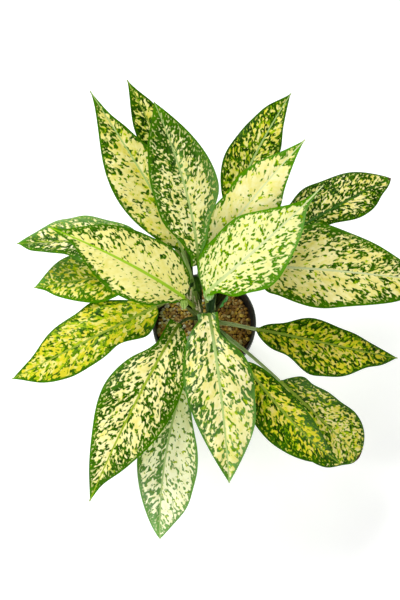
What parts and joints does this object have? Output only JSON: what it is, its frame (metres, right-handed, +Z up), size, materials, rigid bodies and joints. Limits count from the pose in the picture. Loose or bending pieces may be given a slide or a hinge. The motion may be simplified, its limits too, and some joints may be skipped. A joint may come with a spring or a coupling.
{
  "type": "potted chinese evergreen",
  "caption": "Variegated Chinese evergreen house plant: broad speckled leaves on arching petioles, three shoots in a gritty mix, in a round black nursery pot.",
  "frame": {"origin": "centre of the pot's flat base, on the pot's axis, at floor level", "axes": "+Z up along the pot's axis; -Y towards the viewer of the picture; +X to the viewer's right"},
  "size_m": [0.5064, 0.4895, 0.3751],
  "materials": {
    "pot": "satin",
    "potting_mix": "matte",
    "stems": "satin",
    "seedling": "satin",
    "leaf_blades": "satin"
  },
  "bodies": {
    "root": {"pot": "pot", "potting_mix": "potting_mix", "shoot_left": "stems", "shoot_right": "stems", "shoot_front": "stems", "seedling": "seedling", "leaf_blade_01": "leaf_blades", "leaf_blade_02": "leaf_blades", "leaf_blade_03": "leaf_blades", "leaf_blade_04": "leaf_blades", "leaf_blade_05": "leaf_blades", "leaf_blade_06": "leaf_blades", "leaf_blade_07": "leaf_blades", "leaf_blade_08": "leaf_blades", "leaf_blade_09": "leaf_blades", "leaf_blade_10": "leaf_blades", "leaf_blade_11": "leaf_blades", "leaf_blade_12": "leaf_blades", "leaf_blade_13": "leaf_blades", "leaf_blade_14": "leaf_blades", "leaf_blade_15": "leaf_blades", "leaf_blade_16": "leaf_blades", "leaf_blade_17": "leaf_blades", "leaf_blade_18": "leaf_blades"}
  },
  "joints": []
}
